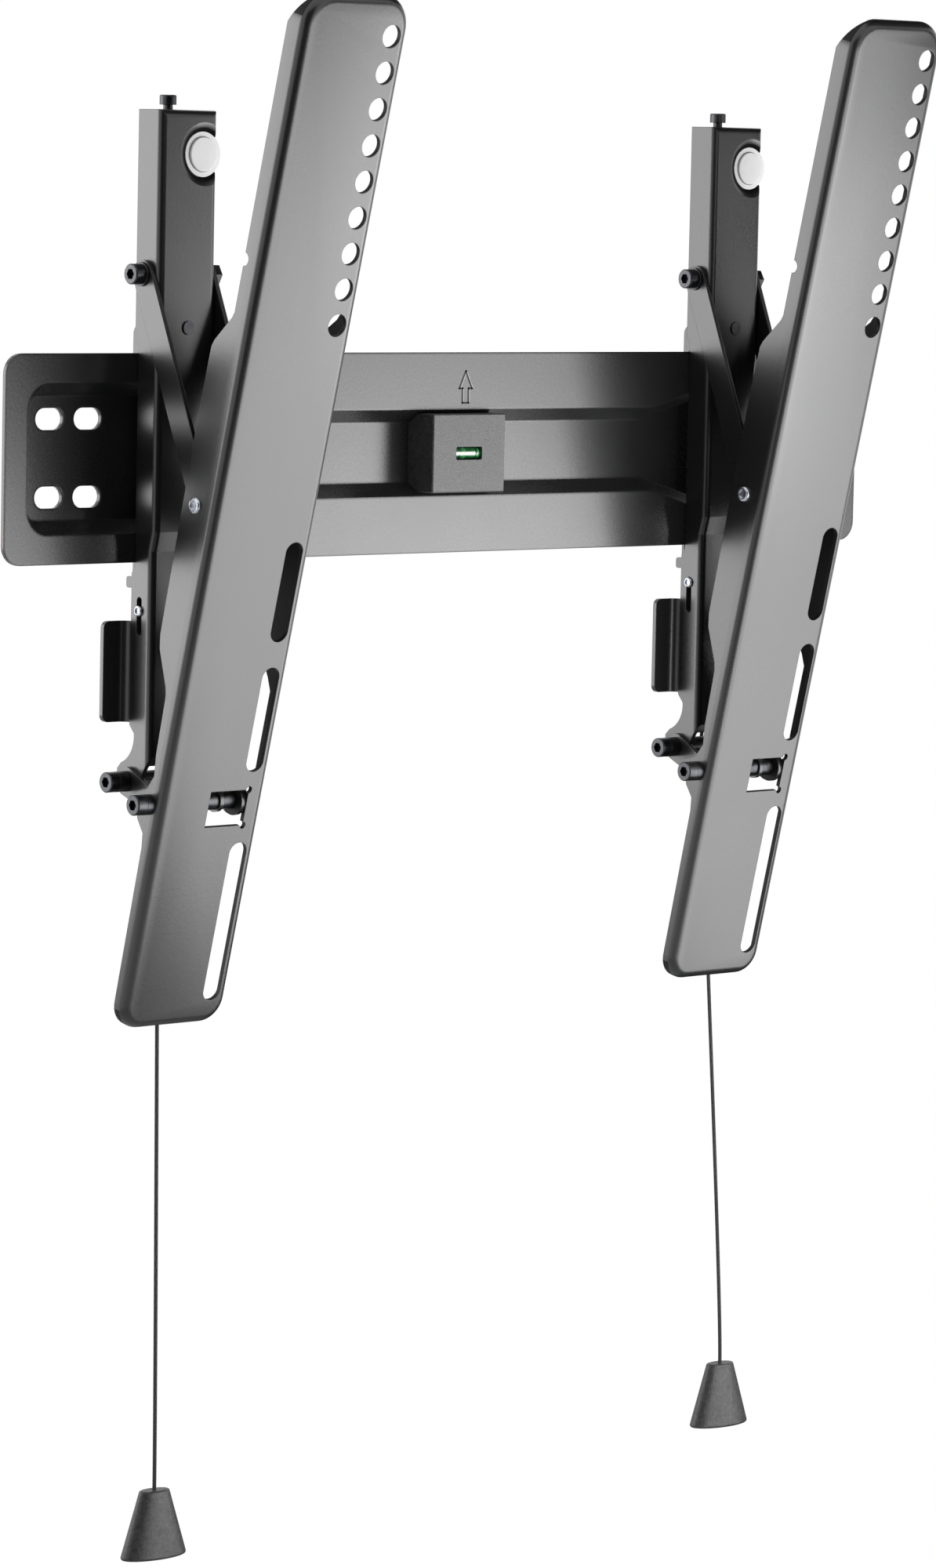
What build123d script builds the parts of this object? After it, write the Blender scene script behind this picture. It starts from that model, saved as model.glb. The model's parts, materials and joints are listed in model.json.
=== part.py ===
from build123d import *
from math import acos, atan2, copysign, cos, hypot, radians, sin, tan
import os

os.makedirs("parts", exist_ok=True)

# Tilting television bracket, in millimetres.
# The wall is the plane y = 0 and the bracket stands out of it towards -Y. The origin is the middle
# of the four wall screws, on the wall. u is measured along X from an arm's line of holes, s is
# measured down an arm from its first hole, and depth is measured back from an arm's front face.

# Sheet and clearances
sheet = 2.0
side_gap = 0.2          # between sheets that move past each other
pin_gap = 0.05          # radial clearance of a pin in its hole
hook_gap = 0.3          # between a hook and the edge that it holds

# Wall plate
plate_width = 494.0
plate_height = 86.0
plate_stand = 10.0      # front of the raised band, from the wall
plate_corner = 8.5
pocket_end = 235.5
pocket_half = 31.0
channel_half = 18.5
flare_start = 118.0
flare_end = 162.0
draft_run = 5.5         # how far the pressed walls lean in over the depth of the recess
pocket_corner = 11.0
flare_corner = 16.0
wall_slot_middle = 208.0
wall_slot_pitch = 20.0
wall_slot_rows = 32.0
wall_slot_length = 14.5
wall_slot_width = 9.0

# Spirit level
level_width = 42.0
level_height = 33.8
level_front = 18.0      # front of the housing, from the wall
level_corner = 1.0
level_edge = 0.5
level_window = (15.0, 5.6)
level_window_corner = 0.8
level_window_depth = 4.5
vial_radius = 2.6
vial_length = 19.0
vial_wall = 1.0         # housing in front of the vial
vial_round = 0.8

# The two sides: line of holes, tilt of the arm, how high the catch stands, handle
sides = {
    "left": dict(line=-136.5, tilt=14.3, catch_lift=0.0, handle_top=-433.4, handle_u=-21.9),
    "right": dict(line=181.0, tilt=13.5, catch_lift=3.2, handle_top=-417.5, handle_u=-4.9),
}

# Bracket, a channel that is open towards the wall
channel_left = -42.0    # u of its outer left face
channel_width = 30.3
web_front = -23.0
joggle = 2.0
joggle_top = -30.0
joggle_bottom = -38.0
bend_outer = 2.8
bend_inner = 0.5
flange_rear = -8.3
band_clear = 0.3        # between a flange and the front of the wall plate
bracket_top = 142.6
web_end = -123.0
foot_rear = -0.8
foot_top = -126.0
foot_toe = 2.6          # bevel of the foot against the wall
foot_sole = 1.0
flange_low = -110.0
heel = (3.0, 3.5)       # run and drop of the flange's heel above the foot
instep = (1.0, 4.5)     # middle of the curve from the heel to the foot
chin = (2.5, 1.5)       # flat of the lower end, in front of and behind the lower pivot
step_slope = 1.5
step_room = 1.0         # room over the wall plate's edges at the ends of the height travel
nose_reach = 3.4
nose_top = -48.8
nose_height = 4.7
nose_round = 1.2
pivot_land = 6.5        # metal round a pivot at the channel's lower end

# Dished seat and its disc
dish_u = -18.5
dish_z = 124.7
dish_radius = 9.8
dish_rim = 13.0
dish_rim_depth = 1.6
dish_depth = 3.3
disc_radius = 9.3
disc_step_radius = 7.1
disc_sunk = 0.8         # front of the disc, behind the web's front
disc_step = 0.9
disc_round = 0.4

# Bent-out tab
tab_reach = 11.7
tab_top = -67.2
tab_bottom = -109.0
tab_rear = -3.0
tab_bend = 4.0
tab_corner = 3.0

# Hanger inside the channel, with the height screw
hook_top = 54.7
hook_rear = -4.3
hook_corner = 4.0
hook_bottom = 35.0
hook_tip = (0.5, 1.5)   # bevel of the hooks' lower ends
hanger_top = 107.0
hanger_shoulder = 66.0
hanger_bottom = 36.0
height_up = 1.8         # travel of the bracket on its hanger
height_down = 4.0
screw_u = -30.6
screw_y = -13.0
screw_radius = 2.0
screw_head_radius = 3.5
screw_head_height = 4.0
screw_neck = 2.0
screw_socket = 3.0
weld_nut_height = 3.0
weld_nut_flats = 7.0
rivet_u = -26.2
rivet_z = 53.7
rivet_head_radius = 2.9
rivet_head_height = 0.6
rivet_radius = 1.5
rivet_inner_head = 1.0
rivet_slot_spare = 1.0

# Linkage: pivots on the bracket, lengths of the links, and the arm's two pivots
upper_pivot = (-14.4, 75.4)
lower_pivot = (-9.0, -133.4)
upper_link = 100.6
lower_link = 19.4
arm_upper_s = 199.4
arm_upper_depth = 12.7
arm_lower_s = 326.4
arm_lower_depth = 8.2
upper_link_radius = 5.8
lower_link_radius = 6.0
lower_link_end = 4.9    # clears the back of the arm as the links turn
open_pivot_gap = 1.0    # clearance of the arm bolt in the lower links

# Fasteners
bolt_radius = 2.5
bolt_head_radius = 4.25
bolt_head_height = 5.0
bolt_socket_radius = 2.3
bolt_socket_depth = 2.6
head_chamfer = 0.4
washer_radius = 5.0
washer_thickness = 0.9
nut_flats = 8.0
nut_height = 4.5
bolt_end = 0.8
spacer_radius = 4.0
sleeve_radius = 4.3
outer_sleeve = 5.4      # length of the lower pivot's sleeve
arm_sleeve = 3.4
tilt_rivet_radius = 2.0
tilt_head_radius = 3.4
tilt_head_height = 1.5
head_rim = 0.3          # straight rim of a rounded rivet head
cup_share = 0.6         # radius of the cup in a rivet's head, as a share of the head's
cup_depth = 0.8

# Arm
arm_left = -46.4
arm_width = 55.5
arm_top = -17.3
arm_bottom = 423.5
arm_corner_top = 14.0
arm_corner_bottom = 11.0
hole_count = 9
hole_pitch = 15.0
hole_radius = 4.75
slot_width = 9.2
arm_slots = ((212.2, 255.2), (266.3, 311.7), (342.8, 413.0))
window_width = 20.5
window_s = (319.6, 335.2)
ear_inset = 9.4         # outer face of the ear, from the arm's right side
relief_radius = 1.5
ear_radius = 6.3
# Rear edges of the arm's flanges, as points (s, depth)
flange_depth = 11.0
arm_bulge = ((117.5, 10.7), (134.0, 20.7), (156.0, 21.3), (261.2, 19.8))
arm_waist = ((278.0, 9.8), (305.0, 9.0))
arm_lobe = ((314.0, 7.8), (320.5, 11.0), (323.6, 17.6), (334.3, 13.3), (339.0, 8.5))
arm_tail = ((345.0, 7.5), (424.5, 6.4))
bulge_round = 5.0
notch_s = 95.5
notch_radius = 2.8

# Catch and pull cord
catch_thickness = 1.8
catch_front = -17.0
catch_rear = -6.2
catch_rivet_y = -13.5
catch_rivet_z = -62.8
catch_rivet_radius = 1.5
catch_head_radius = 2.3
catch_head_height = 1.2
catch_slot = (-58.6, -71.4)
catch_tip = -36.5
catch_foot = -80.0
catch_foot_reach = 24.0
catch_foot_rear = -5.2
cord_radius = 0.85
cord_u = -22.0
cord_exit_y = -7.9
cord_straight = 12.0    # plumb length below the catch's foot
cord_behind = ((0.3, -3.4, -126.0), (0.6, -2.9, -142.0))
cord_plumb = 20.0       # plumb length above the handle
knot_radius = 2.0
knot_height = 2.6
peg_radius = 1.2
peg_z = -50.0
peg_reach = 17.0
spring_u = -29.0
spring_y = -13.4
spring_radius = 2.2
spring_wire = 0.4
spring_pitch = 3.4
handle_height = 28.5
handle_y = -8.5
handle_top_half = (7.4, 4.2)
handle_bottom_half = (17.0, 8.0)
handle_edge = 1.0


def across(x):
    """Plane that faces +X at x, whose sketch coordinates are y and z."""
    return Plane(origin=(x, 0, 0), x_dir=(0, 1, 0), z_dir=(1, 0, 0))


def keep(piece, name):
    """Names a finished piece and writes it."""
    piece.part.label = name
    export_step(piece.part, f"parts/{name}.step")


def linkage(tilt):
    """The arm's two pivots (y, z) when its front leans by tilt degrees from the vertical."""
    along = arm_lower_s - arm_upper_s
    back = arm_lower_depth - arm_upper_depth
    lean = radians(tilt)
    span = (along * sin(lean) + back * cos(lean), back * sin(lean) - along * cos(lean))
    reach = (
        upper_pivot[0] + span[0] - lower_pivot[0],
        upper_pivot[1] + span[1] - lower_pivot[1],
    )
    gap = hypot(*reach)
    swing = (gap**2 + upper_link**2 - lower_link**2) / (2 * upper_link * gap)
    link_angle = atan2(reach[0], reach[1]) + acos(swing)
    upper_end = (
        upper_pivot[0] - upper_link * sin(link_angle),
        upper_pivot[1] - upper_link * cos(link_angle),
    )
    lower_end = (upper_end[0] + span[0], upper_end[1] + span[1])
    return upper_end, lower_end


def add_bar(x, length, centre, radius):
    """Adds a round bar along X from x, centred on centre (y, z)."""
    with BuildSketch(across(x)) as disc:
        with Locations(centre):
            Circle(radius)
    extrude(disc.sketch, amount=length)


def bore(x, length, centre, radius):
    """Cuts a round hole along X from x, centred on centre (y, z)."""
    with BuildSketch(across(x)) as disc:
        with Locations(centre):
            Circle(radius)
    extrude(disc.sketch, amount=length, mode=Mode.SUBTRACT)


def add_tube(x, end, centre, radius):
    """Adds a tube along X, with a bore that clears a pivot bolt."""
    with BuildSketch(across(x)) as ring:
        with Locations(centre):
            Circle(radius)
            Circle(bolt_radius + pin_gap, mode=Mode.SUBTRACT)
    extrude(ring.sketch, amount=end - x)


def add_nut(x, centre):
    """Adds a hexagon nut along X from x."""
    with BuildSketch(across(x)) as hexagon:
        with Locations(centre):
            RegularPolygon(nut_flats / 2, 6, major_radius=False)
            Circle(bolt_radius + pin_gap, mode=Mode.SUBTRACT)
    extrude(hexagon.sketch, amount=nut_height)


def socket_bolt(head_face, seat, end, centre):
    """Socket head bolt along X, with its head towards -X."""
    with BuildPart() as bolt:
        add_bar(head_face, seat - head_face, centre, bolt_head_radius)
        chamfer(bolt.faces().sort_by(Axis.X)[0].edges(), head_chamfer)
        add_bar(seat, end - seat, centre, bolt_radius)
        with BuildSketch(across(head_face)):
            with Locations(centre):
                RegularPolygon(bolt_socket_radius, 6)
        extrude(amount=bolt_socket_depth, mode=Mode.SUBTRACT)
    return bolt


def round_head(head_face, root, centre, radius):
    """Rounded rivet head along X from its face to its root, with a cup in its face."""
    inward = copysign(1, root - head_face)
    with BuildPart() as head:
        add_bar(head_face, root - head_face, centre, radius)
        rim = head.edges().sort_by(Axis.X, reverse=inward < 0)[0]
        fillet(rim, abs(root - head_face) - head_rim)
        bore(head_face, inward * cup_depth, centre, cup_share * radius)
    add(head.part)


def link_plate(x, start, end, start_radius, end_radius, start_hole, end_hole):
    """Flat link across X between two pivots (y, z), with round ends."""
    with BuildPart() as link:
        with BuildSketch(across(x)):
            with Locations(start):
                Circle(start_radius)
            with Locations(end):
                Circle(end_radius)
            make_hull()
            with Locations(start):
                Circle(start_hole, mode=Mode.SUBTRACT)
            with Locations(end):
                Circle(end_hole, mode=Mode.SUBTRACT)
        extrude(amount=sheet)
    return link


def cord_radii(route):
    """Bend radius at each inner point of a route, as large as its two runs allow."""
    radii = []
    for before, point, after in zip(route, route[1:], route[2:]):
        half_turn = radians((point - before).get_angle(after - point)) / 2
        shorter = min((point - before).length, (after - point).length)
        radii.append(0.45 * shorter / tan(half_turn))
    return radii


def recess_outline(grow):
    """Dog-bone outline of the recess on the current plane, moved out by grow."""
    quarter = (
        (flare_start, channel_half),
        (flare_end, pocket_half),
        (pocket_end, pocket_half),
    )
    upper = [(-x, z) for x, z in reversed(quarter)] + list(quarter)
    lower = [(x, -z) for x, z in reversed(upper)]
    with BuildSketch(mode=Mode.PRIVATE) as outline:
        Polygon(*upper, *lower, align=None)
        fillet([v for v in outline.vertices() if abs(v.X) > flare_end + 1], pocket_corner)
        fillet([v for v in outline.vertices() if abs(v.X) < flare_end + 1], flare_corner)
        offset(amount=grow)
    add(outline.sketch)


# Wall plate, pressed from one sheet
recess_depth = plate_stand - sheet
wall_slope = atan2(draft_run, recess_depth)
wall_shift = sheet / cos(wall_slope)
band_rear_grow = wall_shift - draft_run * sheet / recess_depth
with BuildPart() as wall_plate:
    with BuildSketch(Plane.XZ.offset(recess_depth)):
        RectangleRounded(plate_width, plate_height, plate_corner)
    extrude(amount=sheet)
    with BuildSketch(Plane.XZ.offset(recess_depth)):
        recess_outline(band_rear_grow)
    with BuildSketch(Plane.XZ):
        recess_outline(band_rear_grow - draft_run)
    loft(ruled=True)
    with BuildSketch(Plane.XZ.offset(plate_stand)):
        recess_outline(0.0)
    with BuildSketch(Plane.XZ.offset(sheet)):
        recess_outline(-draft_run)
    loft(ruled=True, mode=Mode.SUBTRACT)
    with BuildSketch(Plane.XZ.offset(sheet)):
        with GridLocations(2 * wall_slot_middle, wall_slot_rows, 2, 2):
            with GridLocations(wall_slot_pitch, wall_slot_rows, 2, 1):
                SlotOverall(wall_slot_length, wall_slot_width)
    extrude(amount=-sheet, mode=Mode.SUBTRACT)
keep(wall_plate, "wall_plate")

# Spirit level, seated in the channel of the wall plate
level_step = (level_height / 2 - (channel_half - draft_run)) / draft_run * recess_depth
with BuildPart() as level_housing:
    half = level_height / 2
    foot_half = channel_half - draft_run - side_gap
    shoulder = -(sheet + level_step + hook_gap)
    with BuildSketch(across(-level_width / 2)):
        Polygon(
            (-level_front, half),
            (shoulder, half),
            (-sheet, foot_half),
            (-sheet, -foot_half),
            (shoulder, -half),
            (-level_front, -half),
            align=None,
        )
    extrude(amount=level_width)
    fillet(level_housing.edges().filter_by(Axis.Y), level_corner)
    chamfer(level_housing.faces().sort_by(Axis.Y)[0].edges(), level_edge)
    with BuildSketch(Plane.XZ.offset(level_front)):
        RectangleRounded(*level_window, level_window_corner)
    extrude(amount=-level_window_depth, mode=Mode.SUBTRACT)
    vial_y = -level_front + vial_radius + vial_wall
    bore(-vial_length / 2, vial_length, (vial_y, 0), vial_radius + side_gap)
keep(level_housing, "level_housing")

with BuildPart() as level_vial:
    add_bar(-vial_length / 2 + side_gap, vial_length - 2 * side_gap, (vial_y, 0), vial_radius)
    fillet(level_vial.edges().filter_by(GeomType.CIRCLE), vial_round)
keep(level_vial, "level_vial")


def flange_outline():
    """Side view (y, z) of a bracket flange, with its foot and the step round the wall plate."""
    band_front = -plate_stand - band_clear
    band_over = plate_height / 2 + height_down + step_room
    band_under = -plate_height / 2 - height_up - step_room
    heel_end = (flange_rear - heel[0], flange_low - heel[1])
    toe_top = (foot_rear - foot_toe, foot_top)
    with BuildLine() as outline:
        Polyline(
            (web_front, bracket_top),
            (flange_rear, bracket_top),
            (flange_rear, band_over + step_slope),
            (band_front, band_over),
            (band_front, band_under),
            (flange_rear, band_under - step_slope),
            (flange_rear, flange_low),
            heel_end,
        )
        ThreePointArc(heel_end, (flange_rear - instep[0], foot_top + instep[1]), toe_top)
        Polyline(
            toe_top,
            (foot_rear, foot_top - foot_toe),
            (foot_rear, lower_pivot[1] - foot_sole),
            (lower_pivot[0] + chin[1], lower_pivot[1] - pivot_land),
            (lower_pivot[0] - chin[0], lower_pivot[1] - pivot_land),
            (web_front + joggle, web_end),
            (web_front + joggle, joggle_bottom),
            (web_front, joggle_top),
            (web_front, bracket_top),
        )
    make_face(outline.edges())
    front_top = outline.vertices().group_by(Axis.Y)[-1].sort_by(Axis.X)[0]
    fillet(front_top, bend_outer)


def channel_section(left, front):
    """Plan of the bracket's channel: a U of sheet that is open towards the wall."""
    with BuildSketch() as hollow:
        with Locations((left + sheet, front + sheet)):
            Rectangle(channel_width - 2 * sheet, foot_rear - front, align=Align.MIN)
        fillet(hollow.vertices().group_by(Axis.Y)[0], bend_inner)
    with BuildSketch() as section:
        with Locations((left, front)):
            Rectangle(channel_width, foot_rear - front, align=Align.MIN)
        fillet(section.vertices().group_by(Axis.Y)[0], bend_outer)
        add(hollow.sketch, mode=Mode.SUBTRACT)
    return section.sketch


def make_side(side, line, tilt, catch_lift, handle_top, handle_u):
    """Everything on one side of the wall plate, whose arm has its holes on x = line."""
    outer_left = line + channel_left
    outer_right = outer_left + channel_width
    inner_left = outer_left + sheet
    inner_right = outer_right - sheet
    link_left = outer_left - side_gap - sheet
    link_right = outer_right + side_gap
    arm_face = line + arm_left
    upper_end, lower_end = linkage(tilt)

    # Bracket: a bent channel with a joggle, cut to its side view
    with BuildPart() as bracket:
        with BuildSketch(Plane.XY.offset(joggle_top)):
            add(channel_section(outer_left, web_front))
        extrude(amount=bracket_top - joggle_top)
        with BuildSketch(Plane.XY.offset(joggle_bottom)):
            add(channel_section(outer_left, web_front + joggle))
        extrude(amount=lower_pivot[1] - 2 * pivot_land - joggle_bottom)
        with BuildSketch(Plane.XY.offset(joggle_bottom)):
            add(channel_section(outer_left, web_front + joggle))
        with BuildSketch(Plane.XY.offset(joggle_top)):
            add(channel_section(outer_left, web_front))
        loft(ruled=True)
        with BuildSketch(Plane.XY.offset(bracket_top - sheet)) as cover:
            with Locations((outer_left, web_front)):
                Rectangle(channel_width, flange_rear - web_front, align=Align.MIN)
            fillet(cover.vertices().group_by(Axis.Y)[0], bend_outer)
        extrude(amount=sheet)
        with BuildSketch(across(outer_left)):
            flange_outline()
        extrude(amount=channel_width, mode=Mode.INTERSECT)
        # Dished seat, open through the right-hand bend
        with BuildSketch(Plane.XZ.offset(-web_front - sheet)):
            with Locations((line + dish_u, dish_z)):
                Circle(dish_radius + sheet)
            with Locations((outer_right - sheet / 2, dish_z)):
                Rectangle(
                    channel_width, 4 * dish_radius, align=(Align.MAX, Align.CENTER), mode=Mode.INTERSECT
                )
        extrude(amount=-dish_depth)
        seat = Plane(origin=(line + dish_u, web_front, dish_z), x_dir=(1, 0, 0), z_dir=(0, 1, 0))
        with BuildSketch(seat):
            Circle(dish_radius)
        extrude(amount=dish_depth, mode=Mode.SUBTRACT)
        with Locations(seat.offset(dish_rim_depth / 2)):
            Cone(dish_rim, dish_radius, dish_rim_depth, mode=Mode.SUBTRACT)
        # Nose and bent-out tab on the left flange
        with BuildSketch(across(outer_left)):
            with Locations((flange_rear - sheet, nose_top - nose_height)):
                Rectangle(nose_reach + sheet, nose_height, align=Align.MIN)
        extrude(amount=sheet)
        fillet(
            bracket.edges().filter_by(Axis.X).filter_by_position(
                Axis.Y, flange_rear + nose_reach - 0.01, flange_rear + nose_reach + 0.01
            ),
            nose_round,
        )
        with BuildSketch(Plane.XY.offset(tab_bottom)) as tab:
            Polygon(
                (outer_left, flange_rear - sheet),
                (outer_left, tab_rear - sheet),
                (outer_left - tab_reach, tab_rear - sheet),
                (outer_left - tab_reach, tab_rear),
                (inner_left, tab_rear),
                (inner_left, flange_rear - sheet),
                align=None,
            )
            fillet(tab.vertices().group_by(Axis.X)[1].sort_by(Axis.Y)[-1], tab_bend)
            fillet(tab.vertices().group_by(Axis.X)[-1].sort_by(Axis.Y)[-1], tab_bend + sheet)
        extrude(amount=tab_top - tab_bottom)
        fillet(
            bracket.edges().filter_by(Axis.Y).filter_by_position(
                Axis.X, outer_left - tab_reach - 0.01, outer_left - tab_reach + 0.01
            ),
            tab_corner,
        )
        # Peg that the catch's spring hooks on
        add_bar(inner_right - peg_reach, peg_reach, (spring_y, peg_z), peg_radius)
        # Holes: pivots, height screw, hanger rivet and the catch's slot
        for pivot in (upper_pivot, lower_pivot):
            bore(outer_left, channel_width, pivot, bolt_radius + pin_gap)
        with BuildSketch(Plane.XY.offset(bracket_top)):
            with Locations((line + screw_u, screw_y)):
                Circle(screw_radius + pin_gap)
        extrude(amount=-sheet, mode=Mode.SUBTRACT)
        with BuildSketch(Plane.XZ.offset(-web_front)):
            with Locations((line + rivet_u, rivet_z)):
                Circle(rivet_radius + pin_gap)
        extrude(amount=-sheet, mode=Mode.SUBTRACT)
        with BuildSketch(across(outer_left)):
            with Locations((catch_rivet_y, sum(catch_slot) / 2)):
                SlotCenterToCenter(
                    catch_slot[0] - catch_slot[1], 2 * (catch_rivet_radius + pin_gap), rotation=90
                )
        extrude(amount=sheet, mode=Mode.SUBTRACT)
    keep(bracket, f"{side}_bracket")

    with BuildPart() as height_nut:
        with BuildSketch(Plane.XY.offset(bracket_top - sheet)):
            with Locations((line + screw_u, screw_y)):
                RegularPolygon(weld_nut_flats / 2, 6, major_radius=False)
                Circle(screw_radius + pin_gap, mode=Mode.SUBTRACT)
        extrude(amount=-weld_nut_height)
    keep(height_nut, f"{side}_height_nut")

    # Disc in the dished seat, with a raised middle
    with BuildPart() as bumper_disc:
        disc_front = Plane.XZ.offset(-web_front - disc_sunk)
        with BuildSketch(disc_front.offset(-disc_step)):
            with Locations((line + dish_u, dish_z)):
                Circle(disc_radius)
        extrude(amount=disc_sunk + disc_step - dish_depth)
        with BuildSketch(disc_front.offset(-disc_step)):
            with Locations((line + dish_u, dish_z)):
                Circle(disc_step_radius)
        extrude(amount=disc_step)
        fillet(bumper_disc.edges().sort_by(Axis.Y)[0], disc_round)
    keep(bumper_disc, f"{side}_bumper_disc")

    # Hanger: web, two hooked flanges and a shelf that the height screw stands on
    hanger_front = web_front + sheet + side_gap
    hanger_left = inner_left + side_gap
    hanger_right = inner_right - side_gap
    hook_front = -plate_stand + sheet + hook_gap
    plate_edge = plate_height / 2 + hook_gap
    with BuildPart() as hanger:
        with BuildSketch(across(hanger_left), across(hanger_right - sheet)) as flange:
            Polygon(
                (hanger_front, hanger_shoulder),
                (flange_rear, hanger_shoulder),
                (flange_rear, hook_top),
                (hook_rear, hook_top),
                (hook_rear, hook_bottom),
                (hook_front + hook_tip[0], hook_bottom),
                (hook_front, hook_bottom + hook_tip[1]),
                (hook_front, plate_edge),
                (-plate_stand - band_clear, plate_edge),
                (-plate_stand - band_clear, hanger_bottom),
                (hanger_front, hanger_bottom),
                align=None,
            )
            rear_corners = flange.vertices().group_by(Axis.X)[-1]
            fillet(rear_corners.filter_by(lambda v: v.Y > hook_bottom + 1), hook_corner)
        extrude(amount=sheet)
        with BuildSketch(Plane.XZ.offset(-hanger_front)):
            with Locations((hanger_left, hanger_bottom)):
                Rectangle(hanger_right - hanger_left, hanger_top - hanger_bottom, align=Align.MIN)
            with Locations((line + rivet_u, rivet_z + (height_up - height_down) / 2)):
                SlotCenterToCenter(
                    height_up + height_down + rivet_slot_spare,
                    2 * (rivet_radius + pin_gap),
                    rotation=90,
                    mode=Mode.SUBTRACT,
                )
        extrude(amount=-sheet)
        with BuildSketch(Plane.XY.offset(hanger_top - sheet)):
            with Locations((hanger_left + sheet, hanger_front)):
                Rectangle(
                    hanger_right - hanger_left - 2 * sheet, flange_rear - hanger_front, align=Align.MIN
                )
        extrude(amount=sheet)
    keep(hanger, f"{side}_hanger")

    with BuildPart() as height_screw:
        head_seat = bracket_top + screw_neck
        with BuildSketch(Plane.XY.offset(hanger_top)):
            with Locations((line + screw_u, screw_y)):
                Circle(screw_radius)
        extrude(amount=head_seat - hanger_top)
        with BuildSketch(Plane.XY.offset(head_seat)):
            with Locations((line + screw_u, screw_y)):
                Circle(screw_head_radius)
        extrude(amount=screw_head_height)
        chamfer(height_screw.faces().sort_by(Axis.Z)[-1].edges(), head_chamfer)
        with BuildSketch(Plane.XY.offset(head_seat + screw_head_height)):
            with Locations((line + screw_u, screw_y)):
                RegularPolygon(screw_socket / 2, 6, major_radius=False)
        extrude(amount=-screw_head_height / 2, mode=Mode.SUBTRACT)
    keep(height_screw, f"{side}_height_screw")

    with BuildPart() as hanger_rivet:
        inner_head = hanger_front + sheet + side_gap
        with BuildSketch(Plane.XZ.offset(-web_front)):
            with Locations((line + rivet_u, rivet_z)):
                Circle(rivet_head_radius)
        extrude(amount=rivet_head_height)
        with BuildSketch(Plane.XZ.offset(-web_front)):
            with Locations((line + rivet_u, rivet_z)):
                Circle(rivet_radius)
        extrude(amount=web_front - inner_head)
        with BuildSketch(Plane.XZ.offset(-inner_head)):
            with Locations((line + rivet_u, rivet_z)):
                Circle(rivet_head_radius)
        extrude(amount=-rivet_inner_head)
    keep(hanger_rivet, f"{side}_hanger_rivet")

    # Bracket pivots: bolts, washer, sleeve, spacer tubes and nuts
    washer_face = link_left - side_gap - washer_thickness
    sleeve_face = link_left - side_gap - outer_sleeve
    nut_face = link_right + sheet + side_gap
    upper_bolt = socket_bolt(
        washer_face - bolt_head_height, washer_face, nut_face + nut_height + bolt_end, upper_pivot
    )
    keep(upper_bolt, f"{side}_upper_pivot_bolt")
    lower_bolt = socket_bolt(
        sleeve_face - bolt_head_height, sleeve_face, nut_face + nut_height + bolt_end, lower_pivot
    )
    keep(lower_bolt, f"{side}_lower_pivot_bolt")
    with BuildPart() as upper_washer:
        add_tube(washer_face, washer_face + washer_thickness, upper_pivot, washer_radius)
    keep(upper_washer, f"{side}_upper_pivot_washer")
    with BuildPart() as lower_sleeve:
        add_tube(sleeve_face, sleeve_face + outer_sleeve, lower_pivot, sleeve_radius)
    keep(lower_sleeve, f"{side}_lower_pivot_sleeve")
    with BuildPart() as pivot_spacers:
        for pivot in (upper_pivot, lower_pivot):
            add_tube(inner_left, inner_right, pivot, spacer_radius)
    keep(pivot_spacers, f"{side}_pivot_spacers")
    with BuildPart() as pivot_nuts:
        for pivot in (upper_pivot, lower_pivot):
            add_nut(nut_face, pivot)
    keep(pivot_nuts, f"{side}_pivot_nuts")

    # Links, one pair at each pivot
    pin_hole = bolt_radius + pin_gap
    rivet_hole = tilt_rivet_radius + pin_gap
    open_hole = bolt_radius + open_pivot_gap
    for place, x in (("left", link_left), ("right", link_right)):
        upper = link_plate(
            x, upper_pivot, upper_end, upper_link_radius, upper_link_radius, pin_hole, rivet_hole
        )
        keep(upper, f"{side}_upper_link_{place}")
        lower = link_plate(
            x, lower_pivot, lower_end, lower_link_radius, lower_link_end, pin_hole, open_hole
        )
        keep(lower, f"{side}_lower_link_{place}")

    # Arm: a shallow pan, whose front leans forward at the top
    lean = radians(tilt)
    down = Vector(0, sin(lean), -cos(lean))
    back = Vector(0, cos(lean), sin(lean))
    pivot_point = Vector(line, *upper_end)
    first_hole = pivot_point - down * arm_upper_s - back * arm_upper_depth
    front = Plane(origin=first_hole, x_dir=(1, 0, 0), z_dir=-back)
    arm_right = arm_left + arm_width
    ear_u = arm_right - ear_inset

    def beside(u):
        """Plane that faces +X at u, whose sketch coordinates are s and depth."""
        return Plane(origin=first_hole + Vector(u, 0, 0), x_dir=down, z_dir=(1, 0, 0))

    upper_seat = (arm_upper_s, arm_upper_depth)
    lower_seat = (arm_lower_s, arm_lower_depth)
    deepest = max(depth for s, depth in arm_bulge) + sheet
    with BuildPart() as arm:
        top_end = Plane(origin=first_hole + down * arm_top, x_dir=(1, 0, 0), z_dir=down)
        with BuildSketch(top_end):
            with BuildLine():
                FilletPolyline(
                    (arm_left + sheet / 2, -deepest),
                    (arm_left + sheet / 2, -sheet / 2),
                    (arm_right - sheet / 2, -sheet / 2),
                    (arm_right - sheet / 2, -deepest),
                    radius=bend_outer - sheet / 2,
                )
            trace(line_width=sheet)
        extrude(amount=arm_bottom - arm_top)
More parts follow.
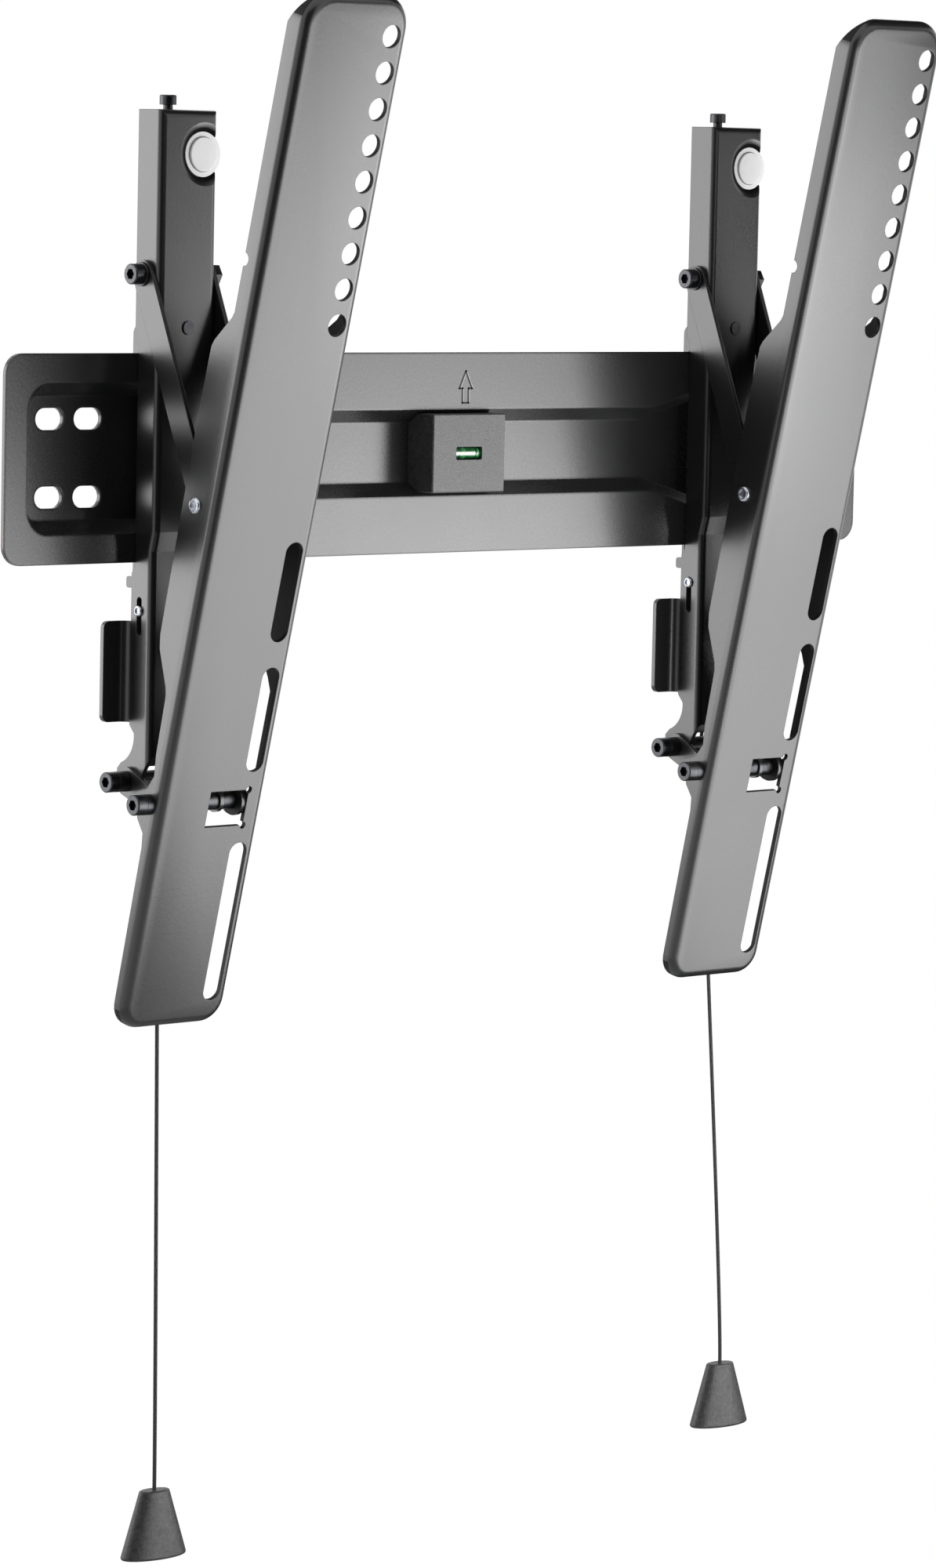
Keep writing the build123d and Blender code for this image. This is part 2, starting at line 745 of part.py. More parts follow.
        # Rear edges of the two flanges: a bulge at the upper pivot, and a lobe at the left lower one
        above = arm_top - sheet
        for u, lobe in ((arm_left, arm_lobe), (arm_right - sheet, ())):
            with BuildSketch(beside(u)) as waste:
                Polygon(
                    (above, flange_depth),
                    *arm_bulge,
                    *arm_waist,
                    *lobe,
                    *arm_tail,
                    (arm_tail[-1][0], deepest + sheet),
                    (above, deepest + sheet),
                    align=None,
                )
                bends = [v for v in waste.vertices() if arm_bulge[0][0] <= v.X <= arm_waist[0][0]]
                fillet(bends, bulge_round)
            extrude(amount=sheet, mode=Mode.SUBTRACT)
        with BuildSketch(beside(arm_left)):
            with Locations((notch_s, flange_depth)):
                Circle(notch_radius)
        extrude(amount=sheet, mode=Mode.SUBTRACT)
        # Rounded corners of the front
        with BuildSketch(front) as outline:
            with Locations((arm_left, -arm_bottom)):
                Rectangle(arm_width, arm_bottom - arm_top, align=Align.MIN)
            fillet(outline.vertices().group_by(Axis.Y)[-1], arm_corner_top)
            fillet(outline.vertices().group_by(Axis.Y)[0], arm_corner_bottom)
        extrude(amount=-deepest, mode=Mode.INTERSECT)
        # Holes and slots for the television's screws, and the window of the ear
        with BuildSketch(front) as openings:
            for index in range(hole_count):
                with Locations((0, -index * hole_pitch)):
                    Circle(hole_radius)
            for start, end in arm_slots:
                with Locations((0, -(start + end) / 2)):
                    SlotOverall(end - start, slot_width, rotation=90)
            with Locations((ear_u - window_width, -window_s[1])):
                Rectangle(window_width, window_s[1] - window_s[0], align=Align.MIN)
            with Locations(*[(ear_u, -s) for s in window_s]):
                Circle(relief_radius)
        extrude(amount=-sheet, mode=Mode.SUBTRACT)
        # Ear, bent back from the window's right edge
        with BuildSketch(beside(ear_u - sheet)):
            with Locations((arm_lower_s, 0)):
                Rectangle(2 * ear_radius, arm_lower_depth, align=(Align.CENTER, Align.MIN))
            with Locations(lower_seat):
                Circle(ear_radius)
        extrude(amount=sheet)
        # Pivot holes
        for u, seat, radius in (
            (arm_left, upper_seat, rivet_hole),
            (arm_right - sheet, upper_seat, rivet_hole),
            (arm_left, lower_seat, pin_hole),
            (ear_u - sheet, lower_seat, pin_hole),
        ):
            with BuildSketch(beside(u)):
                with Locations(seat):
                    Circle(radius)
            extrude(amount=sheet, mode=Mode.SUBTRACT)
    keep(arm, f"{side}_arm")

    # Arm pivots: a bolt from the lobe to the ear, and a rivet on each side at the upper pivot
    arm_seat = arm_face - arm_sleeve
    ear_face = line + ear_u
    arm_bolt = socket_bolt(
        arm_seat - bolt_head_height, arm_seat, ear_face + nut_height + bolt_end, lower_end
    )
    keep(arm_bolt, f"{side}_arm_pivot_bolt")
    with BuildPart() as arm_spacers:
        add_tube(arm_seat, arm_face, lower_end, sleeve_radius)
        add_tube(link_left + sheet + side_gap, link_right - side_gap, lower_end, spacer_radius)
        add_tube(link_right + sheet + side_gap, ear_face - sheet, lower_end, spacer_radius)
    keep(arm_spacers, f"{side}_arm_pivot_spacers")
    with BuildPart() as arm_nut:
        add_nut(ear_face, lower_end)
    keep(arm_nut, f"{side}_arm_pivot_nut")
    with BuildPart() as rivet_left:
        round_head(arm_face - tilt_head_height, arm_face, upper_end, tilt_head_radius)
        add_bar(arm_face, link_left + sheet - arm_face, upper_end, tilt_rivet_radius)
    keep(rivet_left, f"{side}_tilt_rivet_left")
    with BuildPart() as rivet_right:
        arm_side = line + arm_right
        round_head(arm_side + tilt_head_height, arm_side, upper_end, tilt_head_radius)
        add_bar(link_right, line + arm_right - link_right, upper_end, tilt_rivet_radius)
    keep(rivet_right, f"{side}_tilt_rivet_right")
    with BuildPart() as tilt_spacer:
        with BuildSketch(across(link_right + sheet + side_gap)):
            with Locations(upper_end):
                Circle(spacer_radius)
                Circle(rivet_hole, mode=Mode.SUBTRACT)
        extrude(amount=line + arm_right - sheet - side_gap - link_right - sheet - side_gap)
    keep(tilt_spacer, f"{side}_tilt_spacer")

    # Catch: a slide inside the left flange, whose tip goes up behind the plate's lower edge
    slide_left = inner_left + side_gap
    tip = catch_tip + catch_lift
    foot = catch_foot + catch_lift
    tip_front = -plate_stand + sheet + hook_gap
    cord_x = line + cord_u
    with BuildPart() as catch:
        with BuildSketch(across(slide_left)) as slide:
            Polygon(
                (catch_front, -plate_height / 2 + catch_lift),
                (-plate_stand - band_clear, -plate_height / 2 + catch_lift),
                (-plate_stand - band_clear, -plate_height / 2 - height_up - hook_gap),
                (tip_front, -plate_height / 2 - height_up - hook_gap),
                (tip_front, tip),
                (catch_rear, tip),
                (catch_rear, foot),
                (catch_front, foot),
                align=None,
            )
        extrude(amount=catch_thickness)
        with BuildSketch(Plane.XY.offset(foot)):
            with Locations((slide_left, catch_front)):
                Rectangle(catch_foot_reach, catch_foot_rear - catch_front, align=Align.MIN)
            with Locations((cord_x, cord_exit_y)):
                Circle(cord_radius + side_gap, mode=Mode.SUBTRACT)
        extrude(amount=catch_thickness)
        bore(
            slide_left,
            catch_thickness,
            (catch_rivet_y, catch_rivet_z + catch_lift),
            catch_rivet_radius + pin_gap,
        )
    keep(catch, f"{side}_latch_slider")
    with BuildPart() as catch_rivet:
        centre = (catch_rivet_y, catch_rivet_z + catch_lift)
        head_root = outer_left - side_gap / 2
        round_head(head_root - catch_head_height, head_root, centre, catch_head_radius)
        add_bar(head_root, slide_left + catch_thickness - head_root, centre, catch_rivet_radius)
    keep(catch_rivet, f"{side}_latch_rivet")

    # Spring between the peg and the catch's foot
    spring_bottom = foot + catch_thickness + spring_wire
    spring_height = peg_z - peg_radius - spring_wire - side_gap - spring_bottom
    with BuildPart() as latch_spring:
        with BuildLine() as coil:
            Helix(
                pitch=spring_pitch,
                height=spring_height,
                radius=spring_radius,
                center=(line + spring_u, spring_y, spring_bottom),
            )
        with BuildSketch(Plane(origin=coil.line @ 0, z_dir=coil.line % 0)):
            Circle(spring_wire)
        sweep(path=coil.line, is_frenet=True)
    keep(latch_spring, f"{side}_latch_spring")

    # Pull cord: knotted above the catch's foot, behind the lower spacer and down to its handle
    handle_x = line + handle_u
    knot_seat = foot + catch_thickness
    route = [
        Vector(cord_x, cord_exit_y, knot_seat),
        Vector(cord_x, cord_exit_y, foot - cord_straight),
        *[Vector(cord_x + x, y, z) for x, y, z in cord_behind],
        Vector(handle_x, handle_y, handle_top + cord_plumb),
        Vector(handle_x, handle_y, handle_top),
    ]
    radii = cord_radii(route)
    with BuildPart() as pull_cord:
        with BuildLine() as path:
            FilletPolyline(*route, radius=radii)
        with BuildSketch(Plane(origin=path.line @ 0, z_dir=path.line % 0)):
            Circle(cord_radius)
        sweep(path=path.line)
        with BuildSketch(Plane.XY.offset(knot_seat)):
            with Locations((cord_x, cord_exit_y)):
                Circle(knot_radius)
        extrude(amount=knot_height)
        fillet(pull_cord.faces().sort_by(Axis.Z)[-1].edges(), knot_radius / 2)
    keep(pull_cord, f"{side}_pull_cord")
    with BuildPart() as pull_handle:
        for z, half in (
            (handle_top, handle_top_half),
            (handle_top - handle_height, handle_bottom_half),
        ):
            with BuildSketch(Plane.XY.offset(z)):
                with Locations((handle_x, handle_y)):
                    Ellipse(*half)
        loft()
        fillet(pull_handle.edges().filter_by(GeomType.ELLIPSE), handle_edge)
    keep(pull_handle, f"{side}_pull_handle")


for side, values in sides.items():
    make_side(side, **values)
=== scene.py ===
"""Tilting television wall bracket: finishes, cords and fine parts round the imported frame."""
import json
import math

import bmesh
import bpy
from mathutils import Matrix, Vector


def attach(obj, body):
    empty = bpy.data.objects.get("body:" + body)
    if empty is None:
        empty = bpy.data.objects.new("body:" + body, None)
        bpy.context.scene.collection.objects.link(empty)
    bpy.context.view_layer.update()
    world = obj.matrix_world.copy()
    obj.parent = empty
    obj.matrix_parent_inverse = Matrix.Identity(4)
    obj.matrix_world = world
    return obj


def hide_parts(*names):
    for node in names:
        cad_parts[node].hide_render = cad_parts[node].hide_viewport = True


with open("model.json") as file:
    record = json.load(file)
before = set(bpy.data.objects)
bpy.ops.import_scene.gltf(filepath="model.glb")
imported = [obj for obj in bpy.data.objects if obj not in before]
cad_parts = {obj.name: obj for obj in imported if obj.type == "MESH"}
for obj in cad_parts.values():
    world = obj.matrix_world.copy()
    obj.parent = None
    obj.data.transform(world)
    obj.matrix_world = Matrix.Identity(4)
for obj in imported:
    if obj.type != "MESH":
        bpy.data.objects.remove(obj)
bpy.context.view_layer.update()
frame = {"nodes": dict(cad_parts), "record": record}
nodes = frame["nodes"]

MM = 0.001
SIDES = ("left", "right")

# Camera: place, focal length and sensor in millimetres, angles in degrees, and its reach in metres
CAMERA_PLACE = (-1787.4, -1960.3, 111.5)
CAMERA_YAW = 42.676
CAMERA_PITCH = -5.5
CAMERA_ROLL = 1.224
CAMERA_LENS = 141.05
CAMERA_SENSOR = 36.0
CAMERA_REACH = 50.0

# Pull cords, in millimetres: the routes of the source, and the knot on each catch. The knot is
# three turns of cord, each with its own lean in degrees, pressed flat and stacked
CORD_ROUTES = {
    "left": (
        (-158.5, -7.9, -78.2),
        (-158.5, -7.9, -92.0),
        (-158.2, -3.4, -126.0),
        (-157.9, -2.9, -142.0),
        (-158.4, -8.5, -413.4),
        (-158.4, -8.5, -433.4),
    ),
    "right": (
        (159.0, -7.9, -75.0),
        (159.0, -7.9, -88.8),
        (159.3, -3.4, -126.0),
        (159.6, -2.9, -142.0),
        (176.1, -8.5, -397.5),
        (176.1, -8.5, -417.5),
    ),
}
CORD_RADIUS = 0.85
KNOT_RADIUS = 2.0
KNOT_HEIGHT = 2.6
KNOT_TUBE = 0.72
KNOT_LEANS = (0.0, 55.0, -55.0)
KNOT_SQUASH = 0.62
KNOT_STEP = 0.35

# Arms, in millimetres: place of the first hole, lean in degrees, and the pressed pan's sizes, with
# u across from the line of holes, s down from the first hole, and depth back from the front
ARM_FIRST_HOLE = {"left": (-136.5, -115.25, 172.87), "right": (181.0, -110.17, 172.73)}
ARM_LEAN = {"left": 14.3, "right": 13.5}
ARM_LEFT, ARM_RIGHT = -46.4, 9.1
ARM_TOP, ARM_BOTTOM = -16.4, 423.5
ARM_CORNERS = (14.0, 11.0)
ARM_BEND = 4.2
ARM_SHEET = 2.0
ARM_HOLE_COUNT = 9
ARM_HOLE_PITCH = 15.0
ARM_HOLE_RADIUS = 4.75
ARM_SLOTS = ((212.2, 255.2), (266.3, 311.7), (342.8, 413.0))
ARM_SLOT_WIDTH = 9.2
# Window of the ear (u, u, s, s), the relief holes in its corners, and the ear bent back beside it
ARM_WINDOW = (-20.8, -0.3, 319.6, 335.2)
ARM_WINDOW_RELIEF = 1.5
ARM_EAR_RADIUS = 6.3
ARM_EAR_FRONT = 0.6
# Cross holes and the notch in the left flange (s, depth, radius)
ARM_RIVET = (199.4, 12.7, 2.05)
ARM_BOLT = (326.4, 8.2, 2.55)
ARM_NOTCH = (95.5, 11.0, 2.8)
# Rear edges of the flanges as points (s, depth). The right one is shallower, except at the hinge
ARM_HEAD = ((-40.0, 4.6), (-15.0, 4.6), (-2.0, 11.0), (117.5, 10.7), (120.0, 11.6))
ARM_HEAD_RIGHT = ((-40.0, 4.6), (112.0, 4.6), (120.0, 8.6))
ARM_HINGE = (
    (131.5, 19.6), (134.5, 20.8), (156.0, 21.3), (256.5, 19.9), (260.0, 19.2), (262.6, 18.6)
)
ARM_WAIST = ((276.5, 10.8), (280.0, 9.75), (305.0, 9.0))
ARM_WAIST_RIGHT = ((274.0, 9.6), (279.0, 6.7), (312.0, 6.7), (328.0, 4.6))
ARM_LOBE = ((314.0, 7.8), (320.5, 11.0), (323.6, 17.6), (334.3, 13.3), (339.0, 8.5))
ARM_TAIL = ((345.0, 7.5), (450.0, 6.2))
ARM_TAIL_RIGHT = ((345.0, 4.6), (450.0, 4.6))
# From this u on, the rear edge is the right flange's
ARM_RIGHT_PART = -5.0

# Cutting the arm, in millimetres: the block's depth, how far cutters pass what they cut and each
# other, the start and length of the bars that cut through its front and across it, the segments of
# rounded edges and holes, and how near two places count as the same
ARM_BLOCK_DEPTH = 26.0
HOLLOW_EXCESS = 6.0
WASTE_EXCESS = 4.0
WASTE_SIDE_EXCESS = 5.0
WASTE_OVERLAP = 1.0
FRONT_CUT = (-3.0, 8.0)
CROSS_CUT = (ARM_LEFT - 10.0, 80.0)
NOTCH_CUT = (ARM_LEFT - 6.0, 12.0)
PANE_THICKNESS = 10.0
CORNER_SEGMENTS, BEND_SEGMENTS = 12, 8
HOLE_SEGMENTS, EAR_SEGMENTS, RELIEF_SEGMENTS = 40, 48, 20
TOUCH = 1e-4
# A face is the pan's inside where it lies this far within the outline and doesn't face forward,
# and the inside takes a darker, duller coat as painted shade. It is flat where its normal is this
# near an axis, and an edge is sharp from this angle, in degrees
ARM_INSIDE_MARGIN = 0.4
ARM_INSIDE_FACING = -0.1
FLAT_FACING = 0.9995
SHARP_ANGLE = 35

# Arrow on the plate: corners (x, z) in millimetres, and two outlines of strips, the dark line of
# painted shade and its bright edge of painted highlight: name, width, shift along x and place of
# the front
ARROW_CORNERS = (
    (4.4, 34.9), (8.1, 27.5), (6.1, 27.5), (6.1, 21.3), (2.6, 21.3), (2.6, 27.5), (0.8, 27.5)
)
ARROW_PAINTED_SHADE = ("up_arrow", 0.85, 0.0, -10.06)
ARROW_PAINTED_HIGHLIGHT = ("up_arrow_painted_highlight", 0.35, 0.62, -10.03)
ARROW_THICKNESS = 0.1

# White discs, in millimetres: how far left of the arm's first hole, height, and the front of the
# step with its fine line of painted shade. The painted shade in a bracket's dish fades out
# between the two radii
DISC_SHIFT, DISC_HEIGHT, DISC_STEP = 18.5, 124.7, -21.33
DISC_LINE_RADII = (7.12, 7.32)
DISH_SHADE_RADII = (10.8, 12.6)

# Spirit level, in millimetres: the vial's bubble, and its lines and rings of painted highlight,
# each set with a name, the rings' left edges and their width
BUBBLE_RADIUS = 0.95
BUBBLE_STRETCH = 10.5
BUBBLE_SQUASH = (1.0, 0.6, 0.85)
BUBBLE_PLACE = (-6.6, -16.62, 0.0)
VIAL_RING_RADIUS = 2.62
VIAL_DEPTH = -14.4
VIAL_LINES = ("level_lines", (-4.9, 4.7), 0.4)
VIAL_PAINTED_HIGHLIGHTS = ("level_painted_highlights", (-2.7, -1.7, 6.1), 0.35)
# Thickness of the vial's rings and of the discs' lines, in millimetres
THIN_LINE = 0.06

# Looks: the black coat's colours and roughness, and the spans of a noise that a tone follows
COAT_COLOURS = ((0.010, 0.0102, 0.0105), (0.016, 0.0163, 0.0168))
COAT_ROUGHNESS = (0.27, 0.34)
NOISE_SPAN = (0.35, 0.65)
HAZE_SPAN = (0.3, 0.7)

# Floor, world and lamps, in metres: each soft box and dark card has a name, its place, the point
# that it faces, its width and its height, and a soft box its brightness
FLOOR_RADIUS, FLOOR_HEIGHT = 1.25, -0.95
AMBIENT = 0.35
SOFT_BOXES = (
    ("plate_strip", (0.374, -0.444, -0.02), (0.0, -0.03, -0.01), 0.22, 0.34, 4.0),
    ("arm_box", (0.265, -0.55, -0.262), (-0.08, -0.08, -0.01), 0.86, 0.52, 3.9),
    ("rear_panel", (-0.78, 0.72, 0.1), (-0.1, -0.05, 0.03), 0.85, 0.8, 3.5),
)
DARK_CARDS = (
    ("right_card", (0.72, -0.78, 0.02), (0.0, 0.0, 0.02), 0.95, 0.62),
    ("upper_card", (0.62, -0.1, 0.8), (0.0, 0.0, 0.05), 1.3, 1.0),
    ("lower_card", (0.7, 0.12, -0.72), (0.0, 0.0, -0.05), 1.1, 0.8),
    ("left_card", (-0.86, -0.98, 0.05), (0.0, -0.05, 0.0), 1.3, 1.5),
)


# ---- Shader maths and nodes

class Socket:
    """An output of a finish's node. Arithmetic on it adds Math nodes."""

    def __init__(self, finish, output):
        self.finish = finish
        self.output = output

    def maths(self, operation, first, second=0.0):
        return self.finish.add("ShaderNodeMath", {"operation": operation}, {0: first, 1: second})

    def __add__(self, other):
        return self.maths("ADD", self, other)

    def __sub__(self, other):
        return self.maths("SUBTRACT", self, other)

    def __mul__(self, other):
        return self.maths("MULTIPLY", self, other)

    def __pow__(self, other):
        return self.maths("POWER", self, other)

    def sine(self):
        return self.maths("SINE", self)

    def larger(self, other):
        return self.maths("MAXIMUM", self, other)


class Finish:
    """A material or world, with one method that adds any node."""

    def __init__(self, owner):
        self.owner = owner
        owner.use_nodes = True
        self.tree = owner.node_tree
        self.tree.nodes.clear()

    def add(self, kind, settings=None, inputs=None, output=0):
        """Adds a node: its settings first, then values or links for its sockets."""
        node = self.tree.nodes.new(kind)
        for name, value in (settings or {}).items():
            setattr(node, name, value)
        for name, value in (inputs or {}).items():
            if isinstance(value, Socket):
                self.tree.links.new(value.output, node.inputs[name])
            else:
                node.inputs[name].default_value = value
        return Socket(self, node.outputs[output]) if len(node.outputs) else None

    def place(self):
        """Object coordinates."""
        return self.add("ShaderNodeTexCoord", output="Object")

    def axes(self, where, names):
        """The named axes of a vector, as sockets."""
        return [
            self.add("ShaderNodeSeparateXYZ", inputs={"Vector": where}, output=name)
            for name in names
        ]

    def noise(self, scale, detail, rough=0.5):
        """Noise in object coordinates."""
        inputs = {"Vector": self.place(), "Scale": scale, "Detail": detail, "Roughness": rough}
        return self.add("ShaderNodeTexNoise", inputs=inputs)

    def spread(self, value, low, high, to_low=0.0, to_high=1.0):
        """Maps low..high of a value to to_low..to_high, clamped."""
        inputs = {
            "Value": value, "From Min": low, "From Max": high, "To Min": to_low, "To Max": to_high
        }
        return self.add("ShaderNodeMapRange", {"clamp": True}, inputs)

    def mix(self, factor, first, second):
        """Mixes two plain colours."""
        inputs = {0: factor, 6: (*first, 1.0), 7: (*second, 1.0)}
        return self.add("ShaderNodeMix", {"data_type": "RGBA"}, inputs, output=2)

    def soft_edge(self, radius):
        """Normals that round the edges of sheet and machined parts."""
        return self.add("ShaderNodeBevel", {"samples": 6}, {"Radius": radius})

    def bump(self, height, strength, distance, normal=None):
        """Normals from a height, on top of other normals where they are given."""
        inputs = {"Strength": strength, "Distance": distance, "Height": height}
        if normal:
            inputs["Normal"] = normal
        return self.add("ShaderNodeBump", inputs=inputs)

    def shader(self, **inputs):
        """Principled shader. Its base colour is a socket or a plain colour."""
        named = {name.replace("_", " "): value for name, value in inputs.items()}
        if not isinstance(named["Base Color"], Socket):
            named["Base Color"] = (*named["Base Color"], 1.0)
        return self.add("ShaderNodeBsdfPrincipled", inputs=named)

    def output(self, shader):
        """The material's output, with a shader as its surface. Returns the material."""
        self.add("ShaderNodeOutputMaterial", inputs={"Surface": shader})
        return self.owner

    def surface(self, **inputs):
        """Principled surface, and the material's output."""
        return self.output(self.shader(**inputs))


def new_finish(name):
    return Finish(bpy.data.materials.new(name))


# ---- Finishes. Colours are a dark and a light one, and roughness is a low and a high value

def powder_coat(
    name, colours=COAT_COLOURS, roughness=COAT_ROUGHNESS,
    peel=0.10, edge_radius=0.45, shine=0.6, coat=0.4, dish=None,
):
    """Satin black powder coat on steel: orange peel, faint patches, and painted shade in a
    bracket's dish.
    """
    f = new_finish(name)
    patches = f.noise(scale=14.0, detail=3.0)
    specks = f.noise(scale=1500.0, detail=2.0)
    skin_waves = f.noise(scale=620.0, detail=2.0, rough=0.6)
    skin_grain = f.noise(scale=2600.0, detail=1.0)
    skin = skin_waves * 0.75 + skin_grain * 0.25
    tone = f.spread(patches * 0.6 + specks * 0.4, *NOISE_SPAN)
    edge = f.soft_edge(edge_radius * MM)
    normal = f.bump(skin, strength=peel, distance=0.4 * MM, normal=edge)
    paint = f.shader(
        Base_Color=f.mix(tone, *colours),
        Roughness=f.spread(patches * 0.5 + specks * 0.5, *NOISE_SPAN, *roughness),
        Specular_IOR_Level=shine,
        Coat_Weight=coat,
        Coat_Roughness=0.26,
        Normal=normal,
    )
    if dish is None:
        return f.output(paint)
    x, z = f.axes(f.place(), "XZ")
    across, up = x - dish[0] * MM, z - dish[1] * MM
    reach = (across * across + up * up) ** 0.5
    near, far = (radius * MM for radius in DISH_SHADE_RADII)
    shade = f.spread(reach, near, far, to_low=1.0, to_high=0.0)
    # Painted shade in the dish: a near-black, dull shader, full within the nearer radius and gone
    # past the farther
    painted_shade_shader = f.shader(
        Base_Color=(0.002, 0.002, 0.002), Roughness=0.8, Specular_IOR_Level=0.1, Normal=normal
    )
    return f.output(f.add("ShaderNodeMixShader", inputs={0: shade, 1: paint, 2: painted_shade_shader}))


def machined(name, colours, roughness):
    """Black oxide or plated steel, with stains and a fine grain."""
    f = new_finish(name)
    stains = f.noise(scale=220.0, detail=4.0)
    grain = f.noise(scale=2400.0, detail=2.0)
    tone = f.spread(stains * 0.7 + grain * 0.3, *NOISE_SPAN)
    return f.surface(
        Base_Color=f.mix(tone, *colours),
        Metallic=1.0,
        Roughness=f.spread(stains, *HAZE_SPAN, *roughness),
        Normal=f.bump(grain, strength=0.12, distance=0.1 * MM, normal=f.soft_edge(0.3 * MM)),
    )


def moulded(name, colours, roughness, grain_size, mottle=0.0, edge_radius=0.5):
    """Moulded plastic with a fine spark-eroded texture."""
    f = new_finish(name)
    patches = f.noise(scale=300.0, detail=3.0)
    grain = f.noise(scale=grain_size, detail=3.0, rough=0.65)
    tone = f.spread(grain * (1.0 - mottle) + patches * mottle, 0.38, 0.62)
    edge = f.soft_edge(edge_radius * MM)
    return f.surface(
        Base_Color=f.mix(tone, *colours),
        Roughness=f.spread(patches, *HAZE_SPAN, *roughness),
        Normal=f.bump(grain, strength=0.25, distance=0.5 * MM, normal=edge),
    )


def disc_nylon():
    """White moulded nylon of the discs, faintly clouded."""
    f = new_finish("disc_nylon")
    grain = f.noise(scale=900.0, detail=3.0)
    clouds = f.noise(scale=120.0, detail=2.0)
    tone = f.spread(clouds * 0.7 + grain * 0.3, *NOISE_SPAN)
    return f.surface(
        Base_Color=f.mix(tone, (0.92, 0.92, 0.92), (0.98, 0.98, 0.98)),
        Roughness=f.spread(clouds, *HAZE_SPAN, 0.38, 0.5),
        Subsurface_Weight=0.1,
        Subsurface_Radius=(1.0 * MM, 1.0 * MM, 1.0 * MM),
        Normal=f.bump(grain, strength=0.05, distance=0.3 * MM, normal=f.soft_edge(0.5 * MM)),
    )


def hazy(name, colours, roughness, haze_size=900.0, **inputs):
    """Plain colour with a faint haze. Roughness is one value, or follows the haze between two."""
    f = new_finish(name)
    haze = f.noise(scale=haze_size, detail=2.0)
    if isinstance(roughness, tuple):
        roughness = f.spread(haze, *HAZE_SPAN, *roughness)
    colour = f.mix(f.spread(haze, *HAZE_SPAN), *colours)
    return f.surface(Base_Color=colour, Roughness=roughness, **inputs)


def braid(name, turns, strands):
    """Braided cord: two sets of strands wound against each other along the cord's own UV map."""
    f = new_finish(name)
    x, y = f.axes(f.add("ShaderNodeTexCoord", output="UV"), "XY")
    along = x * (turns * math.tau)
    around = y * (strands * math.tau)
    weave = (along + around).sine().larger((along - around).sine())
    fuzz = f.noise(scale=3000.0, detail=3.0)
    height = weave * 0.5 + fuzz * 0.35
    return f.surface(
        # The colour follows the weave's height too: painted shade in the grooves between strands
        Base_Color=f.mix(f.spread(height, 0.1, 0.8), (0.008, 0.008, 0.009), (0.035, 0.035, 0.037)),
        Roughness=f.spread(fuzz, *HAZE_SPAN, 0.6, 0.8),
        Normal=f.bump(height, strength=0.6, distance=0.3 * MM),
    )


def disc_middle(side):
    """Middle (x, z) of a bracket's dish and of the white disc in it, in millimetres."""
    return ARM_FIRST_HOLE[side][0] - DISC_SHIFT, DISC_HEIGHT


CORD_FINISH = braid("cord_braid", turns=150.0, strands=6.0)
FINISHES = {
    "black_coat": powder_coat("black_coat"),
    "black_oxide": machined(
        "black_oxide_steel", ((0.045, 0.046, 0.05), (0.085, 0.086, 0.09)), (0.28, 0.42)
    ),
    "zinc": machined("zinc_plate", ((0.50, 0.53, 0.58), (0.68, 0.71, 0.76)), (0.22, 0.38)),
    "spring_steel": machined("spring_wire", ((0.35, 0.35, 0.36), (0.5, 0.5, 0.51)), (0.25, 0.4)),
    "grey_plastic": moulded(
        "grey_moulding", ((0.018, 0.018, 0.019), (0.04, 0.04, 0.042)), (0.4, 0.5),
        grain_size=700.0,
    ),
    "white_nylon": disc_nylon(),
    "green_vial": hazy(
        "vial_liquid", ((0.004, 0.07, 0.018), (0.012, 0.16, 0.04)), (0.08, 0.16),
        haze_size=500.0, Coat_Weight=1.0, Coat_Roughness=0.05,
    ),
    "braided_cord": CORD_FINISH,
}
# CAD nodes whose finish isn't just their slot's
NODE_FINISHES = {
    "level_housing": moulded(
        "level_moulding", ((0.04, 0.04, 0.041), (0.1, 0.1, 0.102)), (0.32, 0.38),
        grain_size=1600.0, mottle=0.2, edge_radius=0.15,
    ),
    "wall_plate": powder_coat("plate_coat", roughness=(0.25, 0.32), peel=0.08, edge_radius=1.5),
}
# A bracket's coat has painted shade in the dish round its white disc
for side in SIDES:
    NODE_FINISHES[f"{side}_bracket"] = powder_coat(f"{side}_bracket_coat_painted_shade", dish=disc_middle(side))
ARM_FINISH = powder_coat("arm_coat", peel=0.08, edge_radius=0.5)
# Darker, duller copy of the coat on the pan's inside: painted shade
ARM_INSIDE_PAINTED_SHADE = powder_coat(
    "arm_inside_painted_shade", ((0.004, 0.004, 0.004), (0.008, 0.008, 0.008)), (0.5, 0.6),
    peel=0.08, edge_radius=0.3, shine=0.2, coat=0.0,
)
BUBBLE_FINISH = hazy(
    "bubble_white", ((0.80, 0.88, 0.70), (0.92, 0.96, 0.86)), (0.1, 0.2),
    Coat_Weight=0.8, Coat_Roughness=0.06,
)
LINE_FINISH = hazy("vial_line", ((0.002, 0.01, 0.004), (0.006, 0.02, 0.008)), 0.3)
# Brighter green rings on the vial: painted highlight
PAINTED_VIAL_HIGHLIGHT = hazy("vial_painted_highlight", ((0.10, 0.42, 0.14), (0.2, 0.6, 0.25)), 0.2)
# Painted shade for the arrow and the discs' steps, and painted highlight on the arrow's edge
PAINTED_CREASE_SHADE = hazy("pressed_line_painted_shade", ((0.003, 0.003, 0.003), (0.008, 0.008, 0.008)), 0.6)
PAINTED_PRESS_HIGHLIGHT = hazy("pressed_painted_highlight", ((0.4, 0.4, 0.4), (0.5, 0.5, 0.5)), 0.4)


def dress_frame():
    """Gives every CAD node its own finish, or that of its material slot."""
    slots = {part["node"]: part["material_slot"] for part in frame["record"]["subparts"]}
    for name, node in nodes.items():
        for material_slot in node.material_slots:
            material_slot.material = NODE_FINISHES.get(name, FINISHES[slots[name]])


# ---- Helpers for meshes

